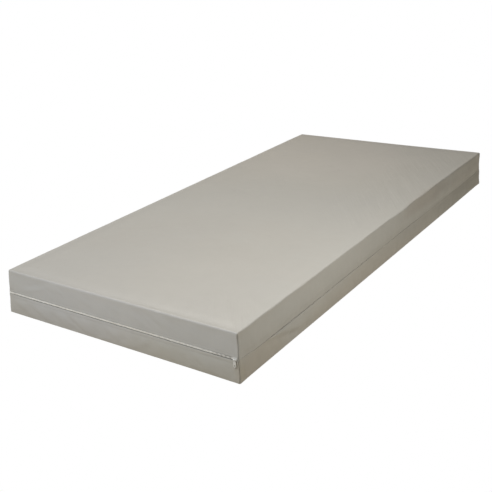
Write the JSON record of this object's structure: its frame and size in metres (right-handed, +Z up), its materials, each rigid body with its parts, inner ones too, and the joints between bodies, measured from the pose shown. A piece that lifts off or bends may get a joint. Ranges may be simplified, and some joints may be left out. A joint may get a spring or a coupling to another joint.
{
  "type": "pressure relief mattress",
  "caption": "Foam pressure relief mattress in a wipe-clean cover that unzips and opens like a lid about its sewn long side.",
  "frame": {"origin": "on the floor under the middle of the mattress", "axes": "+Z up through the thickness, +Y along the length to the head end, +X across the width to the sewn long side; the parked zip slider is at the foot end, at the +X corner"},
  "size_m": [0.9003, 2.0043, 0.14],
  "materials": {
    "cover_top_fabric": "satin",
    "cover_base_fabric": "satin",
    "seam_thread": "matte",
    "zip_tape": "matte",
    "zip_coil": "satin",
    "zip_metal": "satin",
    "foam_comfort": "matte",
    "foam_support": "matte",
    "foam_rail": "matte"
  },
  "bodies": {
    "core": {"lower_cover": "cover_base_fabric", "lower_corner_seams": "seam_thread", "side_seam": "seam_thread", "lower_tape": "zip_tape", "lower_coil": "zip_coil", "lower_stop": "zip_metal", "end_retainer": "zip_metal", "comfort_foam": "foam_comfort", "support_foam": "foam_support", "rail_left": "foam_rail", "rail_right": "foam_rail"},
    "lid": {"upper_cover": "cover_top_fabric", "upper_corner_seams": "seam_thread", "upper_tape": "zip_tape", "upper_coil": "zip_coil", "upper_stop": "zip_metal"},
    "slider": {"slider_body": "zip_metal"},
    "pull_tab": {"pull_tab": "zip_metal"}
  },
  "joints": [
    {"name": "zip_slide", "type": "slide", "parent": "core", "child": "slider", "axis": [-1, 0, 0], "range_m": [0, 0.86], "deforming": ["upper_coil", "lower_coil"]},
    {"name": "tab_swing", "type": "hinge", "parent": "slider", "child": "pull_tab", "pos_m": [0.437, -1.0031, 0.067], "axis": [-1, 0, 0], "range_deg": [0, 175]},
    {"name": "cover_open", "type": "hinge", "parent": "core", "child": "lid", "pos_m": [0.45, 0, 0.061], "axis": [0, 1, 0], "range_deg": [0, 140]}
  ]
}
